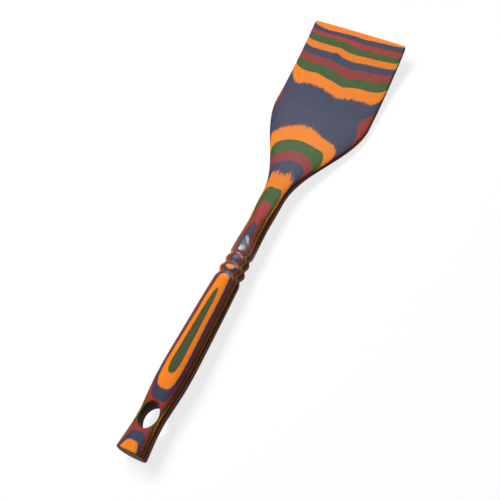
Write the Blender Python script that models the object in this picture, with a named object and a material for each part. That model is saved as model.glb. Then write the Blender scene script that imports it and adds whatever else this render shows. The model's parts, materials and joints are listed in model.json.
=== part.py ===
"""Wooden spatula, carved from one glued block of dyed veneers.

Lengths are in metres. The block lies flat while it is carved: X runs from the butt of the
handle to the tip of the blade, Y to the left, and depth is measured down from the block's top
face. The finished spatula then lies on a table, on its grip and on the belly of its blade, with
the origin under the middle of its box.
"""
import math

import bmesh
import bpy
from mathutils import Matrix, Vector

# Block of veneers
PLY_PITCH = 0.00095          # one veneer and its glue line
GLUE_LINE = 0.0001           # cured glue between two veneers
PLY_COUNT = 20
DYES = ("green", "orange", "navy", "red")

# Grip, from the butt face to its shoulder at the beads
GRIP_LENGTH = 0.1145
GRIP_RADIUS = 0.0095         # half the width at the swell
SHOULDER_ROUND = 0.0010      # rounding of the grip's shoulder
BUTT_AXIS_DEPTH = 0.0099     # depth of the handle's axis at the butt
NECK_AXIS_DEPTH = 0.00940    # and at the beads, because the handle rises towards the blade
HANG_FLAT = 0.00146          # thinning of the hanging end on each face, beyond that of its sides
BUTT_EDGE = 0.0003           # small bevel round the butt face

# Hanging hole, an oval cut straight through the thinned end
HOLE_PLACE = 0.0226
HOLE_LENGTH = 0.016
HOLE_WIDTH = 0.0107

# Turned beads between the grip and the neck
BEAD_COUNT = 2
BEAD_PITCH = 0.007
GROOVE_LEAD = 0.0024         # from the grip's shoulder to the first groove
GROOVE_RADIUS = 0.00695
BEAD_RADIUS = 0.00815
GROOVE_TAPER = 0.00027       # each next groove is smaller by this
BEAD_TAPER = 0.0006          # and each next bead by this
NECK_LEAD = 0.0034           # from the last groove to the neck's shoulder

# Neck and blade
NECK_RADIUS = 0.00735        # at the neck's shoulder
NECK_LENGTH = 0.0397
FLARE_LENGTH = 0.0710
BLADE_LENGTH = 0.0600        # parallel part of the blade, to the tip
BLADE_WIDTH = 0.0645
TIP_WIDTH = 0.0638
FLARE_START_WIDTH = 0.0140
BLADE_DEPTH = 0.01015        # depth of the blade's hollow under the block's top face
TIP_DEPTH = 0.0011           # depth of the tip's upper edge
BLADE_THICKNESS = 0.0059
TIP_THICKNESS = 0.0030
TIP_CORNER = 0.0016          # rounding of the tip's corners, seen from above
TIP_EDGE = 0.0003            # bevel round the tip's end face
CROWN = 0.00095              # how much lower the blade's upper face lies at its edges
UNDER_HOLLOW = 0.0006        # how much higher the blade's underside lies along its middle

# Facets and trimmings
RING_POINTS = 32
GRIP_RINGS = 18
BEAD_RINGS_PER_PITCH = 6
FLARE_RINGS = 17
BLADE_RINGS = 9
CUT_OVERRUN = 0.002          # how far a cutter stands past what it cuts
smallest_chip_share = 0.47       # a chip under this share of a cube of PLY_PITCH is sanded away

# Places are shares of GRIP_LENGTH, values are shares of GRIP_RADIUS
grip_width_shares = (
    (0.000, 0.962), (0.050, 0.904), (0.100, 0.847), (0.150, 0.817), (0.200, 0.813),
    (0.260, 0.848), (0.335, 0.915), (0.400, 0.971), (0.485, 1.000), (0.600, 0.985),
    (0.760, 0.949), (0.930, 0.885), (1.000, 0.852),
)
# Places are shares of GRIP_LENGTH, values are shares of HANG_FLAT
hang_flat_shares = (
    (0.000, 0.16), (0.050, 0.35), (0.100, 0.60), (0.150, 0.86), (0.200, 1.00),
    (0.260, 0.84), (0.335, 0.51), (0.400, 0.26), (0.485, 0.21), (0.600, 0.15), (0.760, 0.03),
    (0.930, 0.00), (1.000, 0.00),
)
# Squareness of the section, as a power: round_share gives an oval, and more comes nearer to a
# rectangle with round corners
round_share = 2.0
grip_square_shares = (
    (0.00, 2.60), (0.10, 3.10), (0.20, 3.40), (0.27, 3.40), (0.34, 3.10), (0.42, 2.65),
    (0.60, 2.28), (0.76, 2.05), (1.00, 2.00),
)
neck_square_shares = (
    (0.00, 2.0), (0.18, 2.1), (0.30, 3.6), (0.42, 4.4), (0.60, 5.0), (0.80, 6.0), (1.00, 7.0),
)
tip_square_share = 10.0
tip_sweep_share = 1.8            # power of the curve from the hollow up to the tip
# Along neck and flare: values are shares of CROWN
crown_shares = (
    (0.00, 0.00), (0.36, 0.00), (0.45, 0.25), (0.60, 0.88), (0.72, 1.00), (0.86, 0.75),
    (1.00, 0.42),
)
tip_crown_share = 0.36
# Along neck and flare: values are shares of the rise from the neck's top to BLADE_DEPTH
hollow_depth_shares = (
    (0.000, 0.000), (0.174, 0.088), (0.306, 0.206), (0.417, 0.325), (0.540, 0.444),
    (0.614, 0.562), (0.681, 0.682), (0.759, 0.800), (0.859, 0.919), (1.000, 1.000),
)
# Along neck and flare: values are shares of the change from neck to BLADE_THICKNESS
flare_thickness_shares = (
    (0.000, 0.00), (0.174, 0.15), (0.280, 0.42), (0.370, 0.64), (0.460, 0.77),
    (0.600, 0.88), (0.760, 0.95), (1.000, 1.00),
)
# Along the neck: values are shares of the change from NECK_RADIUS to half FLARE_START_WIDTH
neck_waist_share = 0.55          # share of NECK_LENGTH where the neck is slimmest
neck_slim_share = 0.90           # its width there, as a share of NECK_RADIUS

# Working places along the part
BEADS_START = GRIP_LENGTH + GROOVE_LEAD
NECK_START = BEADS_START + BEAD_COUNT * BEAD_PITCH + NECK_LEAD
FLARE_START = NECK_START + NECK_LENGTH
BLADE_START = FLARE_START + FLARE_LENGTH
LENGTH = BLADE_START + BLADE_LENGTH

# Names of the stretches that a veneer can be left in, with where each one ends
STRETCHES = (
    ("butt", HOLE_PLACE + HOLE_LENGTH / 2),
    ("grip", BEADS_START),
    ("bead", NECK_START),
    ("neck", FLARE_START),
    ("blade", BLADE_START + BLADE_LENGTH / 2),
    ("tip", LENGTH),
)

DYE_COLOURS = {
    "green": (0.062, 0.170, 0.045),
    "orange": (0.930, 0.250, 0.040),
    "navy": (0.070, 0.092, 0.165),
    "red": (0.370, 0.052, 0.060),
}
sheet_tone_share = 0.03          # veneers of one dye differ a little in tone
lacquer_roughness_share = 0.52


def smooth_curve(points, flat_end=False):
    """A curve through (place, value) points that is smooth and never overshoots them."""
    places = [point[0] for point in points]
    values = [point[1] for point in points]
    steps = [b - a for a, b in zip(places, places[1:])]
    slopes = [(b - a) / step for a, b, step in zip(values, values[1:], steps)]
    tangents = [slopes[0]]
    for i in range(1, len(points) - 1):
        before, after = slopes[i - 1], slopes[i]
        if before * after <= 0:
            tangents.append(0.0)
            continue
        w_before = 2 * steps[i] + steps[i - 1]
        w_after = steps[i] + 2 * steps[i - 1]
        tangents.append((w_before + w_after) / (w_before / before + w_after / after))
    tangents.append(0.0 if flat_end else slopes[-1])

    def value_at(place):
        place = min(max(place, places[0]), places[-1])
        i = 0
        while i < len(steps) - 1 and place > places[i + 1]:
            i += 1
        u = (place - places[i]) / steps[i]
        rise = values[i + 1] - values[i]
        start = tangents[i] * steps[i]
        end = tangents[i + 1] * steps[i]
        cubic = start + end - 2 * rise
        square = 3 * rise - 2 * start - end
        return values[i] + u * (start + u * (square + u * cubic))

    return value_at


def smooth_step(share):
    """0 before the start and 1 past the end, with a soft S between them."""
    share = min(max(share, 0.0), 1.0)
    return share * share * (3 - 2 * share)


def scaled(shares, length, size):
    """Turns a table of shares into places and values in metres."""
    return [(place * length, value * size) for place, value in shares]


def bead_profile():
    """Turned radius from the grip's shoulder over grooves and beads to the neck's shoulder."""
    grip_end_radius = grip_width_shares[-1][1] * GRIP_RADIUS
    points = [
        (GRIP_LENGTH - SHOULDER_ROUND, grip_end_radius),
        (GRIP_LENGTH, grip_end_radius - SHOULDER_ROUND / 4),
    ]
    for i in range(BEAD_COUNT + 1):
        groove = BEADS_START + i * BEAD_PITCH
        points.append((groove, GROOVE_RADIUS - i * GROOVE_TAPER))
        if i < BEAD_COUNT:
            points.append((groove + BEAD_PITCH / 2, BEAD_RADIUS - i * BEAD_TAPER))
    points.append((NECK_START, NECK_RADIUS))
    return points


grip_radius = smooth_curve(scaled(grip_width_shares, GRIP_LENGTH, GRIP_RADIUS))
hang_flat = smooth_curve(scaled(hang_flat_shares, GRIP_LENGTH, HANG_FLAT))
bead_radius = smooth_curve(bead_profile())
grip_square = smooth_curve(grip_square_shares)
neck_square = smooth_curve(neck_square_shares)
hollow_rise = smooth_curve(hollow_depth_shares, flat_end=True)
crown_share = smooth_curve(crown_shares, flat_end=True)
flare_thinning = smooth_curve(flare_thickness_shares)
neck_half_width = smooth_curve((
    (NECK_START, NECK_RADIUS),
    (NECK_START + neck_waist_share * NECK_LENGTH, neck_slim_share * NECK_RADIUS),
    (FLARE_START, FLARE_START_WIDTH / 2),
))


def axis_depth(x):
    """Depth of the handle's axis under the block's top face."""
    rise = smooth_step((x - GRIP_LENGTH / 2) / (BEADS_START - GRIP_LENGTH / 2))
    return BUTT_AXIS_DEPTH + (NECK_AXIS_DEPTH - BUTT_AXIS_DEPTH) * rise


def tip_corner_inset(x):
    """How far the rounded corner of the tip has come in at x."""
    past = max(x - (LENGTH - TIP_CORNER), 0.0)
    return TIP_CORNER - math.sqrt(max(TIP_CORNER ** 2 - past ** 2, 0.0))


def section(x):
    """Half width, top depth, bottom depth and squareness of the form at x."""
    if x < GRIP_LENGTH - SHOULDER_ROUND:
        half_width = grip_radius(x)
        half_height = half_width - hang_flat(x)
        axis = axis_depth(x)
        return half_width, axis - half_height, axis + half_height, grip_square(x / GRIP_LENGTH)
    if x < NECK_START:
        radius = bead_radius(x)
        return radius, axis_depth(x) - radius, axis_depth(x) + radius, round_share
    neck_top = NECK_AXIS_DEPTH - NECK_RADIUS
    if x < BLADE_START:
        run = (x - NECK_START) / (BLADE_START - NECK_START)
        top = neck_top + (BLADE_DEPTH - neck_top) * hollow_rise(run)
        thickness = 2 * NECK_RADIUS + (BLADE_THICKNESS - 2 * NECK_RADIUS) * flare_thinning(run)
        flare = (x - FLARE_START) / FLARE_LENGTH
        if flare < 0:
            return neck_half_width(x), top, top + thickness, neck_square(run)
        half_width = FLARE_START_WIDTH / 2
        half_width += (BLADE_WIDTH - FLARE_START_WIDTH) / 2 * smooth_step(flare)
        return half_width, top, top + thickness, neck_square(run)
    run = (x - BLADE_START) / BLADE_LENGTH
    top = BLADE_DEPTH - (BLADE_DEPTH - TIP_DEPTH) * run ** tip_sweep_share
    thickness = BLADE_THICKNESS + (TIP_THICKNESS - BLADE_THICKNESS) * run
    half_width = (BLADE_WIDTH + (TIP_WIDTH - BLADE_WIDTH) * run) / 2 - tip_corner_inset(x)
    squareness = neck_square(1.0) + (tip_square_share - neck_square(1.0)) * run
    return half_width, top, top + thickness, squareness


def crown(x):
    """How much lower the upper face lies at its edges than along its middle at x."""
    if x < BLADE_START:
        return CROWN * crown_share((x - NECK_START) / (BLADE_START - NECK_START))
    run = (x - BLADE_START) / BLADE_LENGTH
    return CROWN * (crown_share(1.0) + (tip_crown_share - crown_share(1.0)) * run)


def under_hollow(x):
    """How much higher the underside lies along its middle than at its edges at x."""
    if x < BLADE_START:
        return UNDER_HOLLOW * smooth_step((x - FLARE_START) / FLARE_LENGTH)
    return UNDER_HOLLOW * (1 - (x - BLADE_START) / BLADE_LENGTH)


def ring(x, half_width, top, bottom, squareness):
    """Points of one section, a rounded oval or rectangle, anticlockwise seen from the butt."""
    half_height = (bottom - top) / 2
    middle = -(top + bottom) / 2
    points = []
    for i in range(RING_POINTS):
        angle = 2 * math.pi * i / RING_POINTS
        across, up = math.cos(angle), math.sin(angle)
        reach = (abs(across) ** squareness + abs(up) ** squareness) ** (1 / squareness)
        across, up = across / reach, up / reach
        z = middle + half_height * up
        if up > 0:
            z -= crown(x) * up * across ** 2
        else:
            z -= under_hollow(x) * up * (1 - across ** 2)
        points.append(Vector((x, half_width * across, z)))
    return points


def ring_places():
    """Where the form's sections stand along X, closer together over the beads."""
    places = [GRIP_LENGTH * i / GRIP_RINGS for i in range(GRIP_RINGS)]
    places.append(GRIP_LENGTH - SHOULDER_ROUND / 2)
    step = BEAD_PITCH / BEAD_RINGS_PER_PITCH
    place = BEADS_START - step
    while place < NECK_START - step / 2:
        places.append(place)
        place += step
    run = BLADE_START - NECK_START
    places += [NECK_START + run * i / FLARE_RINGS for i in range(FLARE_RINGS)]
    run = BLADE_LENGTH - TIP_CORNER
    places += [BLADE_START + run * i / BLADE_RINGS for i in range(BLADE_RINGS + 1)]
    places += [LENGTH - TIP_CORNER / 2, LENGTH - TIP_EDGE]
    return places


def form_rings():
    """All sections of the carved form, with the bevelled butt and tip faces at the ends."""
    half_width, top, bottom, squareness = section(0.0)
    rings = [ring(0.0, half_width - BUTT_EDGE, top + BUTT_EDGE, bottom - BUTT_EDGE, squareness)]
    rings.append(ring(BUTT_EDGE, half_width, top, bottom, squareness))
    rings += [ring(x, *section(x)) for x in ring_places()[1:]]
    half_width, top, bottom, squareness = section(LENGTH - TIP_EDGE)
    rings.append(ring(LENGTH, half_width - TIP_EDGE, top + TIP_EDGE, bottom - TIP_EDGE, squareness))
    return rings


def carved_form():
    """The outer form as one closed mesh, before the hole is cut and the veneers parted."""
    mesh = bmesh.new()
    rings = [[mesh.verts.new(point) for point in points] for points in form_rings()]
    for near, far in zip(rings, rings[1:]):
        for i in range(RING_POINTS):
            j = (i + 1) % RING_POINTS
            mesh.faces.new((near[i], near[j], far[j], far[i]))
    mesh.faces.new(list(reversed(rings[0])))
    mesh.faces.new(rings[-1])
    bmesh.ops.recalc_face_normals(mesh, faces=mesh.faces)
    return mesh


def hole_cutter():
    """An oval column that stands through the hanging end, hidden, for the Boolean."""
    depth = PLY_COUNT * PLY_PITCH
    mesh = bmesh.new()
    bmesh.ops.create_cone(
        mesh, cap_ends=True, segments=RING_POINTS, radius1=0.5, radius2=0.5,
        depth=depth + 2 * CUT_OVERRUN,
    )
    bmesh.ops.scale(mesh, vec=(HOLE_LENGTH, HOLE_WIDTH, 1.0), verts=mesh.verts)
    bmesh.ops.translate(mesh, vec=(HOLE_PLACE, 0.0, -depth / 2), verts=mesh.verts)
    cutter = new_object("hole_cutter", mesh)
    cutter.hide_render = True
    cutter.display_type = "WIRE"
    return cutter


def new_object(name, mesh):
    """Moves a bmesh into a new scene object."""
    data = bpy.data.meshes.new(name)
    mesh.to_mesh(data)
    mesh.free()
    thing = bpy.data.objects.new(name, data)
    bpy.context.scene.collection.objects.link(thing)
    return thing


def drilled_form():
    """The carved form with its hanging hole, as a bmesh."""
    block = new_object("block", carved_form())
    cutter = hole_cutter()
    cut = block.modifiers.new("hanging hole", "BOOLEAN")
    cut.operation = "DIFFERENCE"
    cut.solver = "EXACT"
    cut.object = cutter
    depsgraph = bpy.context.evaluated_depsgraph_get()
    mesh = bmesh.new()
    mesh.from_mesh(block.evaluated_get(depsgraph).to_mesh())
    for thing in (block, cutter):
        bpy.data.objects.remove(thing)
    return mesh


def sliced(form, upper, lower):
    """The part of the form between two depths, with flat faces where it was cut."""
    mesh = form.copy()
    for depth, keep_below in ((upper, True), (lower, False)):
        cut = bmesh.ops.bisect_plane(
            mesh, geom=mesh.verts[:] + mesh.edges[:] + mesh.faces[:],
            plane_co=(0.0, 0.0, -depth), plane_no=(0.0, 0.0, 1.0 if keep_below else -1.0),
            clear_outer=True,
        )
        rim = [item for item in cut["geom_cut"] if isinstance(item, bmesh.types.BMEdge)]
        rim = [edge for edge in rim if edge.is_valid and edge.is_boundary]
        bmesh.ops.triangle_fill(mesh, edges=rim, use_beauty=True)
    bmesh.ops.triangulate(mesh, faces=mesh.faces)
    bmesh.ops.recalc_face_normals(mesh, faces=mesh.faces)
    return mesh


def islands(mesh):
    """The separate pieces of one sliced veneer, each as its own bmesh, butt end first."""
    mesh.verts.ensure_lookup_table()
    seen = set()
    pieces = []
    for first in mesh.verts:
        if first in seen:
            continue
        group = [first]
        seen.add(first)
        for vert in group:
            for edge in vert.link_edges:
                other = edge.other_vert(vert)
                if other not in seen:
                    seen.add(other)
                    group.append(other)
        piece = mesh.copy()
        piece.verts.ensure_lookup_table()
        keep = {vert.index for vert in group}
        spare = [vert for vert in piece.verts if vert.index not in keep]
        bmesh.ops.delete(piece, geom=spare, context="VERTS")
        pieces.append(piece)
    return sorted(pieces, key=lambda piece: min(vert.co.x for vert in piece.verts))


def stretch_name(piece):
    """The stretch of the spatula that holds the middle of a piece."""
    places = [vert.co.x for vert in piece.verts]
    middle = (min(places) + max(places)) / 2
    if max(places) - min(places) > LENGTH / 2:
        return "full"
    for name, end in STRETCHES:
        if middle <= end:
            return name
    return STRETCHES[-1][0]


def veneer_material(number, dye):
    """Lacquered veneer of one dye. Sheets of the same dye differ a little in tone."""
    material = bpy.data.materials.new(f"ply {number:02d} {dye} veneer")
    material.use_nodes = True
    tone = 1 + sheet_tone_share * ((number // len(DYES)) % 3 - 1)
    red, green, blue = DYE_COLOURS[dye]
    shader = material.node_tree.nodes["Principled BSDF"]
    shader.inputs["Base Color"].default_value = (red * tone, green * tone, blue * tone, 1.0)
    shader.inputs["Roughness"].default_value = lacquer_roughness_share
    shader.inputs["Metallic"].default_value = 0.0
    return material


def rest_matrix(things):
    """Turns the carved block until grip and blade both touch the table, over the origin."""
    corners = [vert.co for thing in things for vert in thing.data.vertices]
    handle = [co for co in corners if co.x < NECK_START]
    blade = [co for co in corners if co.x >= FLARE_START]
    turn = Matrix.Identity(4)
    for _ in range(len(STRETCHES)):
        low_handle = min((turn @ co for co in handle), key=lambda co: co.z)
        low_blade = min((turn @ co for co in blade), key=lambda co: co.z)
        rise = low_blade.z - low_handle.z
        run = low_blade.x - low_handle.x
        turn = Matrix.Rotation(math.atan2(rise, run), 4, "Y") @ turn
    placed = [turn @ co for co in corners]
    middle = (min(co.x for co in placed) + max(co.x for co in placed)) / 2
    floor = min(co.z for co in placed)
    return Matrix.Translation((-middle, 0.0, -floor)) @ turn


def build():
    """Carves the form, parts it into its veneers and lays the spatula down."""
    for thing in list(bpy.data.objects):
        bpy.data.objects.remove(thing)
    form = drilled_form()
    things = []
    for index in range(PLY_COUNT):
        dye = DYES[index % len(DYES)]
        upper = index * PLY_PITCH + GLUE_LINE / 2
        lower = (index + 1) * PLY_PITCH - GLUE_LINE / 2
        material = veneer_material(index + 1, dye)
        used = {}
        for piece in islands(sliced(form, upper, lower)):
            if piece.calc_volume() < smallest_chip_share * PLY_PITCH ** 3:
                piece.free()
                continue
            name = f"ply_{index + 1:02d}_{dye}_{stretch_name(piece)}"
            used[name] = used.get(name, 0) + 1
            if used[name] > 1:
                name = f"{name}_{used[name]}"
            thing = new_object(name, piece)
            thing.data.materials.append(material)
            things.append(thing)
    form.free()
    frame = bpy.data.objects.new("spatula", None)
    bpy.context.scene.collection.objects.link(frame)
    frame.matrix_world = rest_matrix(things)
    for thing in things:
        thing.parent = frame
    bpy.context.view_layer.update()


build()
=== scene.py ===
"""Wooden spatula, dressed over its packed solids.

The carver's order of work is kept. A block of dyed veneers is glued up, the outer form is
carved and its hanging hole drilled, and the form is parted into the veneers that show as
coloured bands. Block coordinates: X from the butt to the tip, Y to the left, Z up, with zero
on the block's top face. The finished pieces are laid down in the packed model's own place.
"""

import json
import math

import bpy
import numpy as np
from bpy.props import FloatProperty, FloatVectorProperty, IntProperty, PointerProperty
from bpy.types import Operator, Panel, PropertyGroup
from mathutils import Matrix, Vector

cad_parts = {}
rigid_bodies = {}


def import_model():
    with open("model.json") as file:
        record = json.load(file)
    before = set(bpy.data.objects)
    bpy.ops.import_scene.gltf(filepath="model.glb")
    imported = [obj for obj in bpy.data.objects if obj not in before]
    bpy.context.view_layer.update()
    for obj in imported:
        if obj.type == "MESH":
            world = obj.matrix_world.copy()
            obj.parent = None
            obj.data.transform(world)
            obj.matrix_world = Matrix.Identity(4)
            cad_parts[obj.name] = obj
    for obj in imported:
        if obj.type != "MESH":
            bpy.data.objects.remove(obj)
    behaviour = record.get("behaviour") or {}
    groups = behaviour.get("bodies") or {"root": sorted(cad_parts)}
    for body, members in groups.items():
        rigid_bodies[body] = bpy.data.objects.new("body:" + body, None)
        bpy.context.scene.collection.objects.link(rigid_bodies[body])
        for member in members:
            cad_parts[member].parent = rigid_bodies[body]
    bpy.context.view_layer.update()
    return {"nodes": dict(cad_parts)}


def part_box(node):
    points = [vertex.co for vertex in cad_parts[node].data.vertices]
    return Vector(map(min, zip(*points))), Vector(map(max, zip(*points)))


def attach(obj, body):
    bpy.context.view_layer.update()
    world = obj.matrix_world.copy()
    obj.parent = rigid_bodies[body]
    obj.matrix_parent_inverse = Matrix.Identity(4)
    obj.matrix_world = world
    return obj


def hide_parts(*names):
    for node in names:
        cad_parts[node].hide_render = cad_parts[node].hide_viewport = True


bl_info = {
    "name": "Veneer spatula",
    "version": (1, 0, 0),
    "blender": (4, 5, 0),
    "location": "3D View > Sidebar > Spatula",
    "description": "Carves a wooden spatula from a block of dyed veneers and lights it",
    "category": "Object",
}

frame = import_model()

DYES = ("green", "orange", "navy", "red")       # order of the veneers, from the top down
WORK = "work "                                  # objects with this prefix are cleared away

# Places are shares of the grip's length, values are shares of its radius
GRIP_WIDTH_SHARES = (
    (0.000, 0.962), (0.050, 0.904), (0.100, 0.847), (0.150, 0.817), (0.200, 0.813),
    (0.260, 0.848), (0.335, 0.915), (0.400, 0.971), (0.485, 1.000), (0.600, 0.985),
    (0.760, 0.949), (0.930, 0.885), (1.000, 0.852),
)
# Places are shares of the grip's length, values are shares of the thinning
HANG_FLAT_SHARES = (
    (0.000, 0.16), (0.050, 0.35), (0.100, 0.60), (0.150, 0.86), (0.200, 1.00),
    (0.260, 0.84), (0.335, 0.51), (0.400, 0.26), (0.485, 0.21), (0.600, 0.15), (0.760, 0.03),
    (0.930, 0.00), (1.000, 0.00),
)
# Squareness of the section: 2 is an oval, more is nearer to a rectangle with round corners
GRIP_SQUARENESS = (
    (0.00, 2.60), (0.10, 3.10), (0.20, 3.40), (0.27, 3.40), (0.34, 3.10), (0.42, 2.65),
    (0.60, 2.28), (0.76, 2.05), (1.00, 2.00),
)
NECK_SQUARENESS = (
    (0.00, 2.0), (0.18, 2.1), (0.30, 3.6), (0.42, 4.4), (0.60, 5.0), (0.80, 6.0), (1.00, 7.0),
)
TIP_SQUARENESS = 10.0
# Along neck and flare: shares of the crown, of the rise to the hollow and of the thinning
CROWN_SHARES = (
    (0.00, 0.00), (0.36, 0.00), (0.45, 0.25), (0.60, 0.88), (0.72, 1.00), (0.86, 0.75),
    (1.00, 0.42),
)
TIP_CROWN_SHARE = 0.36
HOLLOW_DEPTH_SHARES = (
    (0.000, 0.000), (0.060, 0.020), (0.174, 0.088), (0.306, 0.206), (0.417, 0.325), (0.540, 0.444),
    (0.614, 0.562), (0.681, 0.682), (0.759, 0.800), (0.859, 0.919), (1.000, 1.000),
)
FLARE_THICKNESS_SHARES = (
    (0.000, 0.00), (0.174, 0.15), (0.280, 0.42), (0.370, 0.64), (0.460, 0.77),
    (0.600, 0.88), (0.760, 0.95), (1.000, 1.00),
)
# The neck's waist: its place along the neck, and its width as a share of the shoulder's
NECK_WAIST_SHARE = 0.55
NECK_SLIM_SHARE = 0.90
NECK_ROUND_SHARE = 0.6      # how much of the way back to the groove the shoulder is rounded

# Swells of the glued veneers: middle and reach along X, middle and reach across Y, all in
# millimetres, then how far the sheets are lifted there, as a share of the wave height
SWELLS = (
    # Grip and beads
    (11, 5, -5.5, 2.5, -0.28), (34, 5, -5.5, 2.5, -0.28), (55, 6, 0, 6, 0.03),
    (84, 10, 0, 6, 0.07), (104, 7, -1, 5, -0.06), (120.4, 2.5, 0, 9, 0.12),
    (127.4, 2.3, 0, 9, 0.19),
    # Neck
    (143, 12, -6.2, 1.9, 0.40), (153.2, 3, 0, 1.5, 0.10), (163, 9, -6, 1.7, 0.55),
    (168.5, 4, 0, 2.5, 0.08),
    # Flare
    (179.8, 3.5, 0, 4, 0.12), (192, 6, 1, 4, 0.35), (193, 5, -6, 4, 0.15),
    (200, 9, 10, 6, 0.30), (206, 8, -12, 5, 0.10), (217, 5, -14.5, 4, -0.15),
    (217, 5, 24.5, 3, -0.35), (218, 7, 21, 4.5, 0.05), (222, 6, -21, 3.5, 0.08),
    (224, 9, -28, 6, -0.32), (228, 7, 29, 3.5, -0.30), (229, 9, -12, 7, 0.20),
    (229, 9, 6, 6, -0.08), (236, 6, 31.5, 3.5, -0.35), (240, 8, -29, 6, -0.05),
    (245, 12, 30.5, 7, -0.33),
    # Blade
    (257, 6, 7, 8, 0.18), (259, 7, -29, 6, -0.22), (260, 7, 24.5, 4, -0.20),
    (269, 7, -24, 9, -0.12), (272, 20, -4, 5.5, -0.25), (272, 6, -8, 5, -0.10),
    (276, 22, 15, 6, 0.20), (280, 6, -27, 5, 0.10), (288, 4, 8, 3.5, 0.30),
    (296, 3.5, 10, 14, 0.30), (296.3, 1.8, 18, 10, 0.20), (301.5, 4.5, 20, 12, -0.50),
    (302, 5, -6, 8, -0.15),
)

# The scraper left a low slanting ridge where the round shoulder turns into the flat neck:
# its two ends from above, in metres
RIDGE_ENDS = ((0.1373, -0.0039), (0.1422, 0.0001))

# Spacing of the form's sections in metres: at the hanging end, on the grip, over the beads,
# along the neck's ridge, on the rest of neck and blade, and round the tip's corners
SECTION_STEPS = (0.0006, 0.0011, 0.00022, 0.00035, 0.0008, 0.0002)
HANGING_END = 0.0455        # where the hanging end's close sections stop
# How far close sections start before the grip's end, and reach into the neck and past its ridge
GRIP_MARGIN, NECK_MARGIN, RIDGE_MARGIN = 0.0015, 0.001, 0.002
QUARTER_POINTS = 40         # points on a quarter of a section
FLAT_LEAN = 0.38            # how much more of them go to the flat faces of the blade
EDGE_TURNS = 6              # sections round a sanded edge, from end to end
# How far the end faces' inner rings of points are drawn in, in edge rounds
BUTT_INSET, TIP_INSET = 2.4, 2.0
HOLE_POINTS = 112           # points round the hanging hole
RIM_TURNS = 7               # rings round each of its sanded rims
HOLE_OVERSHOOT = 4.0        # how far the drill reaches past the faces, in rim rounds

# This veneer runs through the whole length, with all of its edge in the flat butt face
MIDDLE_VENEER = 11
BUTT_TOLERANCE = 0.0001
# A face with no point deeper in the sheet than this share is a glued one, and not carved
SEAM_TOLERANCE = 0.002

# Where the seam between orange and navy is more ragged: middle and reach along X in
# millimetres, and how far its fibres then reach into the next sheet, in sheet thicknesses
RAGGED_PLACES = ((190.0, 9.0, 0.30), (252.0, 14.0, 0.10))
RAGGED_EVERYWHERE = 0.09
# The share of that raggedness, and how soft the seam looks, in sheet thicknesses
RAGGED_SEAM = (1.0, 0.10)
CLEAN_SEAM = (0.2, 0.035)
NOISE_GAIN = 4              # takes noise of 0.25 to 0.75 to a whole sheet's reach

# How well the lacquer was burnished along the turned beads and the neck: places along X past
# the grip's shoulder, in millimetres, with the share of the full polish that they got
BURNISHED = ((-3.0, 0.0), (0.5, 0.28), (14.5, 0.28), (18.0, 0.50), (20.0, 0.50), (29.0, 0.10))
# Two places on the neck rubbed to the full polish: middle along X and across Y, the run of the
# place as half a vector, and its reach to all sides, all in millimetres
RUBBED = ((134.5, 0.7, 0.0, 1.3, 1.75), (139.6, -2.0, 2.6, 2.2, 0.95))
# Weight and roughness of the lacquer's gloss, only wiped on and fully polished
WIPED_GLOSS = (0.02, 0.38)
POLISHED_GLOSS = (0.80, 0.09)
PLAIN_GLOSS_ROUGHNESS = 0.3     # for a viewer that shows one roughness all over
# Painted shade on the wall of the hanging hole: the share of the tone that is left, and how
# far out the painted shade reaches and fades, in half sizes of the hole
HOLE_WALL_SHADE = 0.35
HOLE_SHADE_REACH, HOLE_SHADE_FADE = 1.02, 0.01

# Sheets that took the dye differently: number from the top and tint
SHEET_TINTS = {
    1: (1.17, 0.75, 1.30), 2: (1.08, 1.05, 0.9), 4: (1.18, 1.0, 1.0), 6: (0.93, 0.93, 1.0),
    8: (0.92, 1.0, 1.0),
}

# Patterns of dyed birch: size along and across the grain in millimetres, detail, roughness and
# shift of the noise, and the range of it that is spread from 0 to 1
GRAIN_PATTERNS = {
    "streaks": (40.0, 1.2, 3.0, 0.6, 0.0, 0.30, 0.70),
    "pores": (3.0, 0.28, 1.0, 0.5, 0.3, 0.52, 0.72),
    "clouds": (30.0, 9.0, 2.0, 0.5, 0.7, 0.30, 0.70),
    "specks": (1.4, 0.6, 1.0, 0.5, 0.9, 0.35, 0.65),
}
# Pressed fibres: size along, across and through the block, detail and roughness of the noise
FIBRE_PATTERN = (8.0, 0.6, 3.0, 2.5, 0.65)
# Tones of the patterns as shares of the dye's own, and the most that is mixed in of each
STREAK_DARKER, STREAK_PALER = 0.12, 0.08
CLOUD_TONE, CLOUD_SHARE = 1.20, 0.25
SPECK_TONE, SPECK_SHARE = 0.50, 0.16
PORE_TONE, PORE_SHARE = 0.45, 0.25
# How strongly they show through each dye
GRAIN_SHOW = {"green": 1.35, "orange": 0.4, "navy": 1.6, "red": 1.2}
# Relief of the wiped lacquer in metres, and the shares of it in pores and streaks
GRAIN_RELIEF = 0.0001
PORE_RELIEF, STREAK_RELIEF = -0.6, 0.3

# Lamps: place in block coordinates and size in metres. The softbox stands above the left side.
# The panels show in gloss only, each with its share of their strength.
LAMP_AIM = (0.15, 0.0, -0.01)
SOFTBOX = ((0.34, 0.68, 1.21), (0.84, 0.52))
GLINT_PANELS = {
    "window": ((1.02, 0.40, 0.84), (0.50, 0.50), 1.60),
    "low window": ((0.53, -0.14, 1.21), (1.00, 0.48), 0.52),
    "side window": ((0.12, 0.20, 1.21), (0.56, 0.60), 0.60),
    "end window": ((1.60, -0.10, 0.25), (0.80, 0.44), 1.50),
}
FLOOR_HALF = 3.0                # half the side of the floor
# The floor's grey where it throws light back, and its grey and own light to the lens
FLOOR_DIM, FLOOR_PALE, FLOOR_GLOW = 0.12, 0.26, 0.79

# Settings of a Map Range node that eases in and out
SOFT = {"interpolation_type": "SMOOTHSTEP"}


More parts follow.
